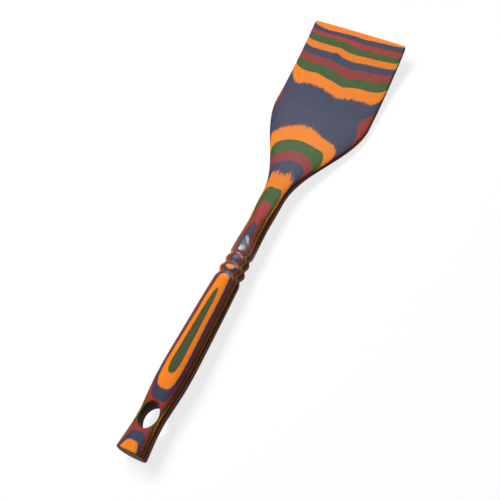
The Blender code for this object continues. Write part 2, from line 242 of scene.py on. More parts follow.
def colour(code):
    """An sRGB hex value as the linear colour that Blender's sockets hold."""
    parts = [int(code[i:i + 2], 16) / 255 for i in (1, 3, 5)]
    return tuple(c / 12.92 if c <= 0.04045 else ((c + 0.055) / 1.055) ** 2.4 for c in parts)


def add(tree, kind, sockets=None, **settings):
    """Adds a node. Its inputs take values, and are linked to outputs or nodes' first outputs."""
    made = tree.nodes.new(kind)
    for name, value in settings.items():
        setattr(made, name, value)
    for name, value in (sockets or {}).items():
        if isinstance(value, bpy.types.Node):
            value = value.outputs[0]
        if isinstance(value, bpy.types.NodeSocket):
            tree.links.new(value, made.inputs[name])
        else:
            made.inputs[name].default_value = value
    return made


def length(name, description, default):
    """A length that a user may change, in metres."""
    return FloatProperty(
        name=name, description=description, default=default, min=0.0, subtype="DISTANCE",
        unit="LENGTH", precision=5,
    )


def dye(name, description, code):
    """A colour that a user may change."""
    return FloatVectorProperty(
        name=name, description=description, default=colour(code), subtype="COLOR", size=3,
        min=0.0, max=1.0,
    )


class BlockSettings(PropertyGroup):
    """The glued block of veneers."""

    pitch: length("Veneer pitch", "One veneer and its glue line", 0.00095)
    count: IntProperty(name="Veneers", description="Sheets in the block", default=20, min=1)
    seam: length("Seam", "Cured glue between two veneers, pressed almost to nothing", 0.000004)
    planing: length("Planing", "Planed off the block's lower face", 0.00006)
    lift: length("Lift", "Lift of the finished pieces, so that they clear the table", 0.00004)
    wave_height: length("Wave height", "Height of the veneers' waves in the block", 0.001)
    sheet_cell: FloatVectorProperty(
        name="Sheet cell", description="Mesh size of a veneer along and across the block",
        default=(0.0018, 0.0010), size=2, unit="LENGTH",
    )


class HandleSettings(PropertyGroup):
    """Grip, hanging hole, beads and neck."""

    grip_length: length("Grip length", "Butt face to the shoulder at the beads", 0.1145)
    grip_radius: length("Grip radius", "Half the width at the swell", 0.0095)
    shoulder_round: length("Shoulder round", "Rounding of the grip's shoulder", 0.0010)
    butt_axis_depth: length("Axis depth at butt", "Handle's axis under the block's top", 0.0099)
    neck_axis_depth: length("Axis depth at beads", "Handle's axis under the block's top", 0.0094)
    hang_flat: length("Hanging flat", "Thinning of the hanging end on each face", 0.00146)
    edge_round: length("Butt edge round", "Sanded rounding of the butt's edge", 0.0006)
    hole_place: length("Hole place", "Butt face to the middle of the hanging hole", 0.0226)
    hole_length: length("Hole length", "Hanging hole along the handle", 0.016)
    hole_width: length("Hole width", "Hanging hole across the handle", 0.0107)
    hole_round: length("Hole rim round", "Sanded rounding of the hole's rims", 0.0006)
    bead_count: IntProperty(name="Beads", description="Turned beads", default=2, min=1)
    bead_pitch: length("Bead pitch", "Groove to groove", 0.007)
    groove_lead: length("Groove lead", "Shoulder to the first groove", 0.0024)
    groove_radius: length("Groove radius", "Radius in the first groove", 0.00695)
    bead_radius: length("Bead radius", "Radius of the first bead", 0.00815)
    groove_taper: length("Groove taper", "Each next groove is smaller by this", 0.00027)
    bead_taper: length("Bead taper", "Each next bead is smaller by this", 0.0006)
    neck_lead: length("Neck lead", "Last groove to the neck's shoulder", 0.0034)
    shoulder_drop: length("Shoulder drop", "Rounding over of the neck's shoulder", 0.0003)
    neck_radius: length("Neck radius", "Radius at the neck's shoulder", 0.00735)
    neck_length: length("Neck length", "Neck's shoulder to the flare", 0.0397)
    ridge_height: length("Ridge height", "Low slanting ridge on the neck", 0.00004)
    ridge_reach: length("Ridge reach", "How far the ridge runs out to each side", 0.0009)


class BladeSettings(PropertyGroup):
    """Flare and blade."""

    flare_length: length("Flare length", "Neck to the parallel part of the blade", 0.0710)
    flare_start_width: length("Flare start width", "Width where the flare starts", 0.0140)
    blade_length: length("Blade length", "Parallel part of the blade", 0.0600)
    blade_width: length("Blade width", "Widest part of the blade", 0.0645)
    tip_width: length("Tip width", "Width at the tip", 0.0638)
    blade_depth: length("Hollow depth", "Blade's hollow under the block's top face", 0.01015)
    tip_depth: length("Tip depth", "Tip's upper edge under the block's top face", 0.0011)
    blade_thickness: length("Blade thickness", "Thickness at the hollow", 0.0059)
    tip_thickness: length("Tip thickness", "Thickness at the tip", 0.0030)
    tip_corner: length("Tip corner", "Rounding of the tip's corners from above", 0.0016)
    tip_edge: length("Tip edge", "Rounding of the tip's edges", 0.00035)
    crown: length("Crown", "How much lower the upper face lies at its edges", 0.00095)
    under_hollow: length("Under hollow", "How much higher the underside's middle lies", 0.0006)
    sweep_power: FloatProperty(
        name="Sweep", description="How the hollow curves up to the tip", default=1.8, min=1.0,
    )


class FinishSettings(PropertyGroup):
    """Dyes and lacquer."""

    green: dye("Green dye", "Veneers dyed green right through", "#405E2B")
    orange: dye("Orange dye", "Veneers dyed orange right through", "#FF8812")
    navy: dye("Navy dye", "Veneers dyed dark blue right through", "#3F445D")
    red: dye("Red dye", "Veneers dyed red right through", "#9E3933")
    roughness: FloatProperty(
        name="Lacquer roughness", description="Satin lacquer, wiped on", default=0.52, min=0.0,
        max=1.0, subtype="FACTOR",
    )


class StageSettings(PropertyGroup):
    """Camera, lamps and floor."""

    lens: FloatProperty(
        name="Lens", description="Focal length in mm", default=70.69, unit="CAMERA",
    )
    camera_place: FloatVectorProperty(
        name="Camera place", description="In block coordinates", unit="LENGTH",
        default=(-0.073554, -0.194129, 0.499892),
    )
    camera_turn: FloatVectorProperty(
        name="Camera turn", description="Rotation vector from block to lens coordinates",
        default=(2.2308237, -1.4193164, 0.1830529),
    )
    daylight: FloatProperty(name="Room light", description="Light from all round", default=0.11)
    softbox: FloatProperty(
        name="Softbox", description="Main lamp in watts", default=19.0, unit="POWER",
    )
    panels: FloatProperty(
        name="Glint panels", description="Watts for a square metre, seen in gloss only",
        default=57.0,
    )


def smooth_curve(points, flat_end=False):
    """A curve through (place, value) points that is smooth and never overshoots them."""
    places, values = (np.array(row, float) for row in zip(*points))
    steps = np.diff(places)
    slopes = np.diff(values) / steps
    tangents = np.zeros(len(places))
    tangents[0] = slopes[0]
    tangents[-1] = 0.0 if flat_end else slopes[-1]
    for i in range(1, len(steps)):
        if slopes[i - 1] * slopes[i] > 0:
            w_before = 2 * steps[i] + steps[i - 1]
            w_after = steps[i] + 2 * steps[i - 1]
            tangents[i] = (w_before + w_after) / (w_before / slopes[i - 1] + w_after / slopes[i])

    def value_at(place):
        place = np.clip(place, places[0], places[-1])
        i = np.clip(np.searchsorted(places, place, side="right") - 1, 0, len(steps) - 1)
        u = (place - places[i]) / steps[i]
        rise = values[i + 1] - values[i]
        start = tangents[i] * steps[i]
        end = tangents[i + 1] * steps[i]
        cubic = start + end - 2 * rise
        square = 3 * rise - 2 * start - end
        return values[i] + u * (start + u * (square + u * cubic))

    return value_at


def smooth_step(share):
    """0 before the start and 1 past the end, with a soft S between them."""
    share = np.clip(share, 0.0, 1.0)
    return share * share * (3 - 2 * share)


class Form:
    """The carved outer form, worked out from the settings in block coordinates."""

    def __init__(self, handle, blade, floor_depth):
        self.handle, self.blade = handle, blade
        self.floor_depth = floor_depth      # the belly of the grip keeps the block's lower face
        self.beads_start = handle.grip_length + handle.groove_lead
        beads = handle.bead_count * handle.bead_pitch
        self.neck_start = self.beads_start + beads + handle.neck_lead
        self.flare_start = self.neck_start + handle.neck_length
        self.blade_start = self.flare_start + blade.flare_length
        self.length = self.blade_start + blade.blade_length
        grip = [(p * handle.grip_length, v * handle.grip_radius) for p, v in GRIP_WIDTH_SHARES]
        flat = [(p * handle.grip_length, v * handle.hang_flat) for p, v in HANG_FLAT_SHARES]
        self.grip_radius = smooth_curve(grip)
        self.hang_flat = smooth_curve(flat)
        self.bead_radius = smooth_curve(self.bead_profile(), flat_end=True)
        self.grip_square = smooth_curve(GRIP_SQUARENESS)
        self.neck_square = smooth_curve(NECK_SQUARENESS)
        self.hollow_rise = smooth_curve(HOLLOW_DEPTH_SHARES, flat_end=True)
        self.crown_share = smooth_curve(CROWN_SHARES, flat_end=True)
        self.thinning = smooth_curve(FLARE_THICKNESS_SHARES)
        self.neck_half_width = smooth_curve((
            (self.neck_start, handle.neck_radius),
            (self.neck_start + NECK_WAIST_SHARE * handle.neck_length,
             NECK_SLIM_SHARE * handle.neck_radius),
            (self.flare_start, blade.flare_start_width / 2),
        ))

    def bead_profile(self):
        """Turned radius from the grip's shoulder over grooves and beads to the neck."""
        h = self.handle
        radius = GRIP_WIDTH_SHARES[-1][1] * h.grip_radius
        points = [
            (h.grip_length - h.shoulder_round, radius),
            (h.grip_length, radius - h.shoulder_round / 4),
        ]
        for i in range(h.bead_count + 1):
            groove = self.beads_start + i * h.bead_pitch
            points.append((groove, h.groove_radius - i * h.groove_taper))
            if i < h.bead_count:
                points.append((groove + h.bead_pitch / 2, h.bead_radius - i * h.bead_taper))
        # The neck's shoulder is rounded over towards the last groove
        rounded = self.neck_start - NECK_ROUND_SHARE * h.neck_lead
        points.append((rounded, h.neck_radius - h.shoulder_drop))
        points.append((self.neck_start, h.neck_radius))
        return points

    def axis_depth(self, x):
        """Depth of the handle's axis under the block's top face."""
        h = self.handle
        half = h.grip_length / 2
        rise = smooth_step((x - half) / (self.beads_start - half))
        return h.butt_axis_depth + (h.neck_axis_depth - h.butt_axis_depth) * rise

    def section(self, x):
        """Half width, top depth, bottom depth, squareness and crown of the form at x."""
        h, b = self.handle, self.blade
        axis = self.axis_depth(x)
        if x < h.grip_length - h.shoulder_round:
            half_width = self.grip_radius(x)
            half_height = half_width - self.hang_flat(x)
            square = self.grip_square(x / h.grip_length)
            return half_width, axis - half_height, axis + half_height, square, 0.0
        if x < self.neck_start:
            radius = self.bead_radius(x)
            return radius, axis - radius, axis + radius, 2.0, 0.0
        neck_top = h.neck_axis_depth - h.neck_radius
        run = (x - self.neck_start) / (self.blade_start - self.neck_start)
        if run < 1:
            top = neck_top + (b.blade_depth - neck_top) * self.hollow_rise(run)
            thick = 2 * h.neck_radius
            thick += (b.blade_thickness - 2 * h.neck_radius) * self.thinning(run)
            flare = (x - self.flare_start) / b.flare_length
            half_width = self.neck_half_width(x)
            if flare > 0:
                grow = (b.blade_width - b.flare_start_width) / 2
                half_width = b.flare_start_width / 2 + grow * smooth_step(flare)
            crown = b.crown * self.crown_share(run)
            return half_width, top, top + thick, self.neck_square(run), crown
        run = (x - self.blade_start) / b.blade_length
        top = b.blade_depth - (b.blade_depth - b.tip_depth) * run ** b.sweep_power
        thick = b.blade_thickness + (b.tip_thickness - b.blade_thickness) * run
        past = max(x - (self.length - b.tip_corner), 0.0)
        inset = b.tip_corner - math.sqrt(max(b.tip_corner ** 2 - past ** 2, 0.0))
        half_width = (b.blade_width + (b.tip_width - b.blade_width) * run) / 2 - inset
        square = self.neck_square(1.0) + (TIP_SQUARENESS - self.neck_square(1.0)) * run
        share = self.crown_share(1.0) + (TIP_CROWN_SHARE - self.crown_share(1.0)) * run
        return half_width, top, top + thick, square, b.crown * share

    def under_hollow(self, x):
        """How much higher the underside lies along its middle than at its edges."""
        b = self.blade
        if x < self.blade_start:
            return b.under_hollow * smooth_step((x - self.flare_start) / b.flare_length)
        return b.under_hollow * (1 - (x - self.blade_start) / b.blade_length)

    def ring(self, x, shrink=0.0):
        """Points of the section at x, made smaller all round by shrink."""
        half_width, top, bottom, square, crown = self.section(x)
        half_width -= shrink
        half_height = (bottom - top) / 2 - shrink
        # More of the points go to the flat faces where the section is wide
        lean = 1 - FLAT_LEAN * smooth_step((x - self.flare_start) / (self.length / 6))
        share = (np.arange(QUARTER_POINTS + 1) / QUARTER_POINTS) ** lean * math.pi / 2
        angle = np.concatenate([
            share[:-1], math.pi - share[:0:-1], math.pi + share[:-1],
            2 * math.pi - share[:0:-1],
        ])
        across, up = np.cos(angle), np.sin(angle)
        reach = (np.abs(across) ** square + np.abs(up) ** square) ** (1 / square)
        across, up = across / reach, up / reach
        z = -(top + bottom) / 2 + half_height * up
        z -= crown * np.clip(up, 0.0, None) * across ** 2
        z -= self.under_hollow(x) * np.clip(up, None, 0.0) * (1 - across ** 2)
        z += np.clip(up, 0.0, None) * self.ridge(x, half_width * across)
        z = np.maximum(z, -self.floor_depth)
        return np.stack([np.full_like(z, x), half_width * across, z], axis=1)

    def ridge(self, x, y):
        """Height of the slanting ridge over places on the neck."""
        (x0, y0), (x1, y1) = RIDGE_ENDS
        run_x, run_y = x1 - x0, y1 - y0
        span = math.hypot(run_x, run_y)
        along = ((x - x0) * run_x + (y - y0) * run_y) / span
        aside = ((x - x0) * run_y - (y - y0) * run_x) / span
        past = np.maximum(np.maximum(-along, along - span), 0.0)
        reach = self.handle.ridge_reach
        return self.handle.ridge_height * np.exp(-(aside / reach) ** 2 - (past / reach) ** 2)

    def surface(self, x, y, upper):
        """Height of the upper or lower surface over a place in the handle."""
        half_width, top, bottom, square, _ = self.section(x)
        up = (1 - min(abs(y) / half_width, 1.0) ** square) ** (1 / square)
        return -(top + bottom) / 2 + (1 if upper else -1) * (bottom - top) / 2 * up

    def places(self):
        """Where the form's sections stand along X."""
        ends = (
            self.handle.edge_round, HANGING_END, self.handle.grip_length - GRIP_MARGIN,
            self.neck_start + NECK_MARGIN, RIDGE_ENDS[1][0] + RIDGE_MARGIN,
            self.length - self.blade.tip_corner, self.length - self.blade.tip_edge,
        )
        runs = [np.linspace(a, z, max(2, round((z - a) / step)), endpoint=False)
                for a, z, step in zip(ends, ends[1:], SECTION_STEPS)]
        return np.append(np.concatenate(runs), ends[-1])

    def end_rings(self, place, edge, inset, outward):
        """An end of the form from within its flat face out over its sanded edge."""
        rings = [self.ring(place, inset * edge)]
        rings[0][:, 0] = place + outward * edge
        for turn in np.linspace(0, math.pi / 2, EDGE_TURNS)[:-1]:
            ring = self.ring(place, edge * (1 - math.sin(turn)))
            ring[:, 0] = place + outward * edge * math.cos(turn)
            rings.append(ring)
        return rings

    def rings(self):
        """All sections, with the butt face before them and the tip's end face after them."""
        butt_edge, tip_edge = self.handle.edge_round, self.blade.tip_edge
        butt = self.end_rings(butt_edge, butt_edge, BUTT_INSET, -1)
        tip = self.end_rings(self.length - tip_edge, tip_edge, TIP_INSET, 1)
        return np.array([*butt, *(self.ring(x) for x in self.places()), *reversed(tip)])


def mesh_object(name, points, faces, smooth=True):
    """A new scene object from points and faces."""
    mesh = bpy.data.meshes.new(name)
    mesh.from_pydata([tuple(p) for p in points], [], [tuple(int(i) for i in f) for f in faces])
    mesh.polygons.foreach_set("use_smooth", [smooth] * len(mesh.polygons))
    mesh.update()
    thing = bpy.data.objects.new(name, mesh)
    bpy.context.scene.collection.objects.link(thing)
    return thing


def loft(name, rings):
    """A closed object through rings of points, with flat ends."""
    count, around = rings.shape[:2]
    index = np.arange(count * around).reshape(count, around)
    near, far = index[:-1], index[1:]
    quads = np.stack([near, np.roll(near, -1, 1), np.roll(far, -1, 1), far], axis=-1)
    faces = [tuple(q) for q in quads.reshape(-1, 4)]
    faces.append(tuple(index[0][::-1]))
    faces.append(tuple(index[-1]))
    return mesh_object(name, rings.reshape(-1, 3), faces)


def hole_rings(form):
    """The drill's outline: an oval column whose ends flare out to the sanded rims."""
    h = form.handle
    angle = np.linspace(0, 2 * math.pi, HOLE_POINTS, endpoint=False)
    oval = np.stack([np.cos(angle) * h.hole_length / 2, np.sin(angle) * h.hole_width / 2], 1)
    normal = np.stack([np.cos(angle) * h.hole_width, np.sin(angle) * h.hole_length], 1)
    normal /= np.linalg.norm(normal, axis=1)[:, None]
    turns = np.linspace(0, math.pi / 2, RIM_TURNS)
    steps = [(1.0, -HOLE_OVERSHOOT)] + [(1 - math.sin(t), 1 - math.cos(t)) for t in turns]
    rings = []
    for upper in (False, True):
        side = []
        for out, down in steps:
            places = oval + normal * out * h.hole_round
            down *= h.hole_round if upper else -h.hole_round
            side.append([
                (h.hole_place + x, y, form.surface(h.hole_place + x, y, upper) - down)
                for x, y in places
            ])
        rings += side[::-1] if upper else side
    return np.array(rings)


def wave(x, y):
    """How far the swells lift or sink a sheet at a place, in wave heights."""
    total = np.zeros(np.broadcast(x, y).shape)
    for mid_x, reach_x, mid_y, reach_y, lift in SWELLS:
        u, v = (x * 1000 - mid_x) / reach_x, (y * 1000 - mid_y) / reach_y
        total += lift * np.exp(-u ** 2 - v ** 2)
    return total


def sheet_tree():
    """Geometry Nodes: one wavy veneer of the block, cut down to the carved form.

    The incoming mesh is the carved form. The top face of the block, with its waves, is
    moved down to the veneer's place, given the veneer's thickness and intersected with it.
    """
    tree = bpy.data.node_groups.new("veneer sheet", "GeometryNodeTree")
    for name, kind in (("Form", "Geometry"), ("Block top", "Object"), ("Number", "Int"),
                       ("Pitch", "Float"), ("Seam", "Float"), ("Thickness", "Float"),
                       ("Finish", "Material")):
        tree.interface.new_socket(name, in_out="INPUT", socket_type="NodeSocket" + kind)
    tree.interface.new_socket("Veneer", in_out="OUTPUT", socket_type="NodeSocketGeometry")
    given = add(tree, "NodeGroupInput").outputs
    top = add(tree, "GeometryNodeObjectInfo", {"Object": given["Block top"]})
    depth = add(tree, "ShaderNodeMath", {0: given["Number"], 1: given["Pitch"]},
                operation="MULTIPLY")
    half = add(tree, "ShaderNodeMath", {0: given["Seam"], 1: 0.5}, operation="MULTIPLY")
    under = add(tree, "ShaderNodeMath", {0: depth, 1: half}, operation="ADD")
    down = add(tree, "ShaderNodeMath", {0: under, 1: -1.0}, operation="MULTIPLY")
    drop = add(tree, "ShaderNodeCombineXYZ", {"Z": down})
    upper = add(tree, "GeometryNodeTransform",
                {"Geometry": top.outputs["Geometry"], "Translation": drop})
    turned = add(tree, "GeometryNodeFlipFaces", {"Mesh": upper})
    thick = add(tree, "ShaderNodeMath", {0: given["Thickness"], 1: -1.0}, operation="MULTIPLY")
    fall = add(tree, "ShaderNodeCombineXYZ", {"Z": thick})
    walls = add(tree, "GeometryNodeExtrudeMesh",
                {"Mesh": turned, "Offset": fall, "Offset Scale": 1.0, "Individual": False},
                mode="FACES")
    both = add(tree, "GeometryNodeJoinGeometry")
    tree.links.new(upper.outputs[0], both.inputs[0])
    tree.links.new(walls.outputs[0], both.inputs[0])
    sheet = add(tree, "GeometryNodeMergeByDistance", {"Geometry": both, "Distance": 1e-7})
    cut = add(tree, "GeometryNodeMeshBoolean", operation="INTERSECT", solver="MANIFOLD")
    meshes = [socket for socket in cut.inputs if socket.enabled][0]
    tree.links.new(given["Form"], meshes)
    tree.links.new(sheet.outputs[0], meshes)
    # The cut keeps the form's smooth normals for the carved faces
    bend = add(tree, "GeometryNodeInputNormal")
    place = add(tree, "GeometryNodeInputPosition")
    near = add(tree, "GeometryNodeSampleNearestSurface",
               {"Mesh": given["Form"], "Value": bend, "Sample Position": place},
               data_type="FLOAT_VECTOR")
    kept = add(tree, "GeometryNodeStoreNamedAttribute",
               {"Geometry": cut, "Name": "form_normal", "Value": near},
               data_type="FLOAT_VECTOR", domain="POINT")
    real = add(tree, "GeometryNodeRealizeInstances", {"Geometry": kept})
    done = add(tree, "GeometryNodeSetMaterial", {"Geometry": real, "Material": given["Finish"]})
    add(tree, "NodeGroupOutput", {"Veneer": done})
    return tree


def set_inputs(modifier, **values):
    """Sets a Geometry Nodes modifier's inputs, found by name and set by identifier."""
    for item in modifier.node_group.interface.items_tree:
        key = item.name.lower().replace(" ", "_")
        if item.in_out == "INPUT" and key in values:
            modifier[item.identifier] = values[key]


def numbers(items, key, width=1, kind=float):
    """One property of all items as an array, with a row for each."""
    values = np.empty(len(items) * width, kind)
    items.foreach_get(key, values)
    return values.reshape(-1, width) if width > 1 else values


def islands(edges, count):
    """A label for each point that is the same for all points of one loose piece."""
    label = np.arange(count)
    while True:
        low = np.minimum(label[edges[:, 0]], label[edges[:, 1]])
        new = label.copy()
        np.minimum.at(new, edges[:, 0], low)
        np.minimum.at(new, edges[:, 1], low)
        new = new[new]
        if (new == label).all():
            return label
        label = new


def lay_down():
    """The matrix that takes block coordinates to the packed model's place.

    The middle veneer's two rows of points in the butt face give the block's tilt and place.
    """
    block = bpy.context.scene.spatula_block
    prefix = f"ply_{MIDDLE_VENEER}_"
    node = next(o for name, o in frame["nodes"].items() if name.startswith(prefix))
    co = numbers(node.data.vertices, "co", 3)
    butt = co[co[:, 0] < co[:, 0].min() + BUTT_TOLERANCE]
    upper, lower = butt[np.argmax(butt[:, 2])], butt[np.argmin(butt[:, 2])]
    tilt = math.atan2(upper[0] - lower[0], upper[2] - lower[2])
    middle = Vector(((upper[0] + lower[0]) / 2, 0.0, (upper[2] + lower[2]) / 2))
    # The smooth belly hangs a hair lower than the packed model's facets, so it is lifted
    top = (MIDDLE_VENEER - 0.5) * block.pitch + block.lift
    return (Matrix.Translation(middle) @ Matrix.Rotation(tilt, 4, "Y")
            @ Matrix.Translation((0.0, 0.0, top)))


def work_object(name):
    """A working object that an earlier step made."""
    thing = bpy.data.objects.get(WORK + name)
    if thing is None:
        raise RuntimeError(f"the {name} isn't made yet: run its step first")
    return thing


class SPATULA_OT_carve(Operator):
    """Carve the outer form and drill the hanging hole"""

    bl_idname = "spatula.carve"
    bl_label = "Carve the form"

    def execute(self, context):
        block = context.scene.spatula_block
        depth = block.count * block.pitch - block.planing
        form = Form(context.scene.spatula_handle, context.scene.spatula_blade, depth)
        body = loft(WORK + "carved form", form.rings())
        drill = loft(WORK + "drill", hole_rings(form))
        cut = body.modifiers.new("hanging hole", "BOOLEAN")
        cut.operation = "DIFFERENCE"
        cut.solver = "MANIFOLD"
        cut.object = drill
        depsgraph = context.evaluated_depsgraph_get()
        drilled = bpy.data.meshes.new_from_object(body.evaluated_get(depsgraph))
        body.modifiers.clear()
        body.data = drilled
        body.data.polygons.foreach_set("use_smooth", [True] * len(drilled.polygons))
        bpy.data.objects.remove(drill)
        return {"FINISHED"}


class SPATULA_OT_glue_up(Operator):
    """Make the wavy top face of the glued block, from which each veneer is copied"""

    bl_idname = "spatula.glue_up"
    bl_label = "Glue up the block"

    def execute(self, context):
        block = context.scene.spatula_block
        form = work_object("carved form")
        corners = np.array([tuple(corner) for corner in form.bound_box])
        spare = 0.003                   # the block's top face reaches this far past the form
        low, high = corners.min(0)[:2] - spare, corners.max(0)[:2] + spare
        counts = np.ceil((high - low) / np.array(block.sheet_cell)).astype(int)
        xs, ys = (np.linspace(a, z, n + 1) for a, z, n in zip(low, high, counts))
        x, y = np.meshgrid(xs, ys, indexing="ij")
        z = block.wave_height * wave(x, y)
        index = np.arange(x.size).reshape(x.shape)
        faces = np.stack([index[:-1, :-1], index[1:, :-1], index[1:, 1:], index[:-1, 1:]], -1)
        points = np.stack([x.ravel(), y.ravel(), z.ravel()], 1)
        mesh_object(WORK + "block top", points, faces.reshape(-1, 4), smooth=False)
        return {"FINISHED"}


def cut_sheet(number, dye_name):
    """Cuts one veneer out of the form and returns its mesh in block coordinates."""
    block = bpy.context.scene.spatula_block
    form = work_object("carved form")
    tree = bpy.data.node_groups.get("veneer sheet") or sheet_tree()
    nodes = form.modifiers.new("veneer", "NODES")
    nodes.node_group = tree
    # The lowest sheet reaches past the form, whose own lower face is planed flat
    spare = block.wave_height if number == block.count - 1 else 0.0
    set_inputs(
        nodes, block_top=work_object("block top"), number=number, pitch=block.pitch,
        seam=block.seam, thickness=block.pitch - block.seam + spare,
        finish=bpy.data.materials[finish_name(dye_name)],
    )
    depsgraph = bpy.context.evaluated_depsgraph_get()
    mesh = bpy.data.meshes.new_from_object(form.evaluated_get(depsgraph))
    form.modifiers.remove(nodes)
    return mesh


def find_homes(world, label, solids):
    """The solid of the same veneer that each loose piece lies in or nearest to."""
    homes = {}
    for piece in np.unique(label):
        xs = world[label == piece, 0]
        low, high = xs.min(), xs.max()

        def misfit(name):
            a, b = solids[name][0].x, solids[name][1].x
            shared = min(high, b) - max(low, a)
            return -shared / max(high - low, b - a) if shared > 0 else -shared

        homes[piece] = min(solids, key=misfit)
    return homes


def part_out(mesh, number, dye_name):
    """Parts a cut veneer into its loose pieces, lays them down and hands them to the frame."""
    block = bpy.context.scene.spatula_block
    co = numbers(mesh.vertices, "co", 3)
    label = islands(numbers(mesh.edges, "vertices", 2, int), len(co))
    place = (block.wave_height * wave(co[:, 0], co[:, 1]) - co[:, 2]) / block.pitch - number
    faces = [tuple(p.vertices) for p in mesh.polygons]
    laid = np.array(lay_down())
    world = co @ laid[:3, :3].T + laid[:3, 3]
    bend = numbers(mesh.attributes["form_normal"].data, "vector", 3) @ laid[:3, :3].T
    prefix = f"ply_{number + 1:02d}_"
    solids = {name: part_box(name) for name in frame["nodes"] if name.startswith(prefix)}
    homes = find_homes(world, label, solids)
    tint = SHEET_TINTS.get(number + 1, (1.0, 1.0, 1.0))
    for name in solids:
        mine = np.isin(label, [piece for piece, home in homes.items() if home == name])
        if not mine.any():
            raise RuntimeError(f"no veneer piece was cut for {name}")
        new_index = np.cumsum(mine) - 1
        kept = [tuple(new_index[list(f)]) for f in faces if mine[f[0]]]
        thing = mesh_object(name.replace("ply_", "veneer_"), world[mine], kept)
        finish_piece(thing, place[mine], co[mine] * 1000, tint, bend[mine])
        thing.data.materials.append(bpy.data.materials[finish_name(dye_name)])
        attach(thing, "root")
        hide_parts(name)


def polish_at(along, across):
    """How well a place is polished: the beads and the neck were burnished while they turned."""
    shoulder = bpy.context.scene.spatula_handle.grip_length * 1000
    places, shares = zip(*BURNISHED)
    polish = np.interp(along - shoulder, places, shares)
    for mid_x, mid_y, run_x, run_y, reach in RUBBED:
        share = (along - mid_x) * run_x + (across - mid_y) * run_y
        share = np.clip(share / (run_x ** 2 + run_y ** 2), -1.0, 1.0)
        away = np.hypot(along - mid_x - share * run_x, across - mid_y - share * run_y)
        polish = np.maximum(polish, np.exp(-(away / reach) ** 4))
    return polish


def hole_shade_at(along, across):
    """Where shade is painted: 1 on the wall of the hanging hole, and 0 elsewhere."""
    h = bpy.context.scene.spatula_handle
    u = (along - h.hole_place * 1000) / (h.hole_length * 500)
    v = across / (h.hole_width * 500)
    return np.clip((HOLE_SHADE_REACH - np.hypot(u, v)) / HOLE_SHADE_FADE, 0.0, 1.0)


def finish_piece(thing, place, co, tint, bend):
    """Stores what the finish needs, and keeps the form's smooth shading on the skin.

    The finish needs the place within the sheet, how ragged the seams are there, how well that
    place was polished, and how the sheet took the dye, with painted shade on the hole's wall.
    """
    mesh = thing.data
    along, across = co[:, 0], co[:, 1]
    stored = {
        "sheet_place": np.clip(place, 0.0, 1.0),
        "ragged": RAGGED_EVERYWHERE + sum(
            amount * np.exp(-((along - middle) / reach) ** 2)
            for middle, reach, amount in RAGGED_PLACES),
        "polish": polish_at(along, across),
    }
    for name, values in stored.items():
        layer = mesh.attributes.new(name, "FLOAT", "POINT")
        layer.data.foreach_set("value", values.astype(np.float32))
    layer = mesh.attributes.new("tint", "FLOAT_VECTOR", "POINT")
    # Painted shade: the tint is darkened on the wall of the hanging hole
    tints_and_hole_shade = np.outer(1 - (1 - HOLE_WALL_SHADE) * hole_shade_at(along, across), tint)
    layer.data.foreach_set("vector", tints_and_hole_shade.ravel().astype(np.float32))
    loops = numbers(mesh.loops, "vertex_index", kind=int)
    totals = numbers(mesh.polygons, "loop_total", kind=int)
    flat = np.repeat(numbers(mesh.polygons, "normal", 3), totals, axis=0)
    face = np.repeat(np.arange(len(totals)), totals)
    deepest = np.zeros(len(totals))
    np.maximum.at(deepest, face, np.minimum(place, 1 - place)[loops])
    skin = (deepest > SEAM_TOLERANCE)[face]
    normals = np.where(skin[:, None], bend[loops], flat)
    normals /= np.linalg.norm(normals, axis=1)[:, None] + 1e-12
    mesh.normals_split_custom_set([tuple(n) for n in normals])


def finish_name(dye_name):
    """The name of one dye's finish."""
    return f"birch veneer dyed {dye_name}, satin lacquer"


def grain(tree, along, across, upright, detail, rough, shift=0.0):
    """A pattern of that many millimetres along, across and through the block."""
    place = add(tree, "ShaderNodeTexCoord").outputs["Object"]
    scaled = add(tree, "ShaderNodeMapping", {
        "Vector": place, "Location": (shift, shift, 0.0),
        "Scale": (1000 / along, 1000 / across, 1000 / upright)})
    return add(tree, "ShaderNodeTexNoise", {
        "Vector": scaled, "Scale": 1.0, "Detail": detail, "Roughness": rough})


def seam_shares(tree, dye_name):
    """How far a place belongs to the sheet above, and how far to the sheet below.

    Fibres pressed into the next sheet carry their colour across the seam.
    """
    (fray_above, soft_above), (fray_below, soft_below) = {
        "orange": (CLEAN_SEAM, RAGGED_SEAM), "navy": (RAGGED_SEAM, CLEAN_SEAM),
    }.get(dye_name, (CLEAN_SEAM, CLEAN_SEAM))
    sheet, ragged = (add(tree, "ShaderNodeAttribute", attribute_name=name).outputs["Fac"]
                     for name in ("sheet_place", "ragged"))
    fibre = add(tree, "ShaderNodeMath", {0: grain(tree, *FIBRE_PATTERN), 1: 0.5},
                operation="SUBTRACT")
    fray = add(tree, "ShaderNodeMapRange", {
        "Value": sheet, "From Min": 0.3, "From Max": 0.7, "To Min": NOISE_GAIN * fray_above,
        "To Max": NOISE_GAIN * fray_below}, **SOFT)
    reach = add(tree, "ShaderNodeMath", {0: fray, 1: ragged}, operation="MULTIPLY")
    shifted = add(tree, "ShaderNodeMath", {0: fibre, 1: reach, 2: sheet},
                  operation="MULTIPLY_ADD")
    above = add(tree, "ShaderNodeMapRange", {
        "Value": shifted, "From Min": -soft_above, "From Max": soft_above, "To Min": 1.0,
        "To Max": 0.0}, **SOFT)
    below = add(tree, "ShaderNodeMapRange", {
        "Value": shifted, "From Min": 1 - soft_below, "From Max": 1 + soft_below}, **SOFT)
    return above, below


